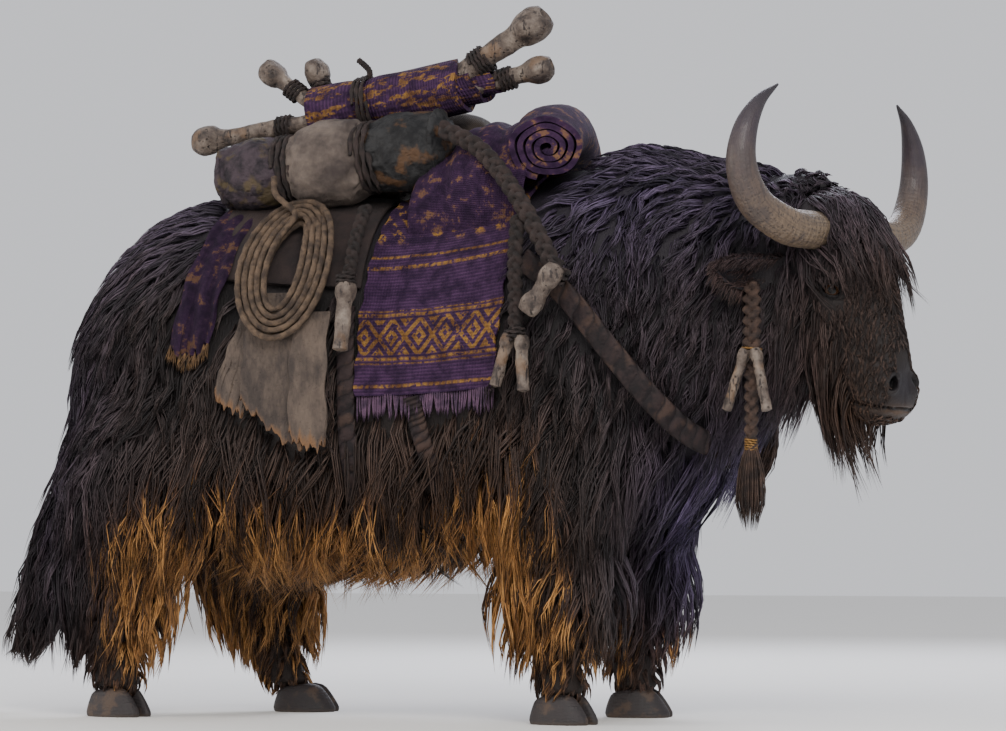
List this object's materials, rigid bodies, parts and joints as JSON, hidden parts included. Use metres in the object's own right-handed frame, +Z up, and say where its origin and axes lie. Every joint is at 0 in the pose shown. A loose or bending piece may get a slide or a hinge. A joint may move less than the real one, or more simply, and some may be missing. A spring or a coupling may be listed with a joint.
{
  "type": "pack yak",
  "caption": "Standing long-haired yak with curved horns, skirt of hanging hair and bushy tail, carrying a striped blanket, tied bundles, a rope coil and bone charms.",
  "frame": {"origin": "on the floor under the middle of the animal's box, without its hanging ropes and charms", "axes": "+X ahead towards the head, +Y to the animal's left, +Z up"},
  "size_m": [2.4492, 0.8904, 1.7802],
  "materials": {
    "coat": "long shaggy hair, blue-black on the back and golden brown at the ends of the skirt",
    "face": "short dark brown hair over skin, bare dark nose",
    "horn": "rough grey-tan keratin with rings, darker at the tips",
    "hoof": "worn dark grey keratin",
    "eye": "wet dark brown",
    "blanket": "coarse deep purple wool weave with ochre woven bands",
    "pad": "dark felted wool",
    "bone": "dry weathered bone with dark pits",
    "rope": "twisted hemp and hair rope",
    "braid": "plaited yarn and hair with a loose tassel",
    "canvas": "grubby grey-tan canvas",
    "leather": "old creased black leather",
    "strap": "dark brown wrapped leather strap",
    "hide": "stiff raw hide with torn golden edges"
  },
  "bodies": {
    "root": {"blanket": "blanket", "bone_front_long": "bone", "bone_front_short": "bone", "bone_rear_left": "bone", "bone_rear_long": "bone", "bone_rear_right": "bone", "breast_strap": "strap", "bundle_canvas": "canvas", "bundle_front_case": "leather", "bundle_rear_case": "leather", "bundle_tie_front": "rope", "bundle_tie_rear": "rope", "charm_bone": "bone", "charm_rope": "rope", "cheek_bone_left_a": "bone", "cheek_bone_left_b": "bone", "cheek_bone_right_a": "bone", "cheek_bone_right_b": "bone", "cheek_braid_left": "braid", "cheek_braid_right": "braid", "ear_left": "coat", "ear_right": "coat", "eye_left": "eye", "eye_right": "eye", "foreleg_left": "coat", "foreleg_right": "coat", "front_charm_bone_a": "bone", "front_charm_bone_b": "bone", "front_charm_rope": "rope", "girth_front": "strap", "girth_rear": "strap", "head": "face", "hide_flap_front": "hide", "hide_flap_middle": "hide", "hide_flap_rear": "hide", "hindleg_left": "coat", "hindleg_right": "coat", "hoof_foreleg_left_inner": "hoof", "hoof_foreleg_left_outer": "hoof", "hoof_foreleg_right_inner": "hoof", "hoof_foreleg_right_outer": "hoof", "hoof_hindleg_left_inner": "hoof", "hoof_hindleg_left_outer": "hoof", "hoof_hindleg_right_inner": "hoof", "hoof_hindleg_right_outer": "hoof", "horn_left": "horn", "horn_right": "horn", "lash_rope": "rope", "left_bundle": "canvas", "neck": "coat", "rear_cloth": "blanket", "rope_coil": "rope", "rug_roll": "blanket", "rug_tie": "rope", "saddle_pad": "pad", "tail": "coat", "toggle_bone": "bone", "torso": "coat", "withers_roll": "blanket"}
  },
  "joints": []
}
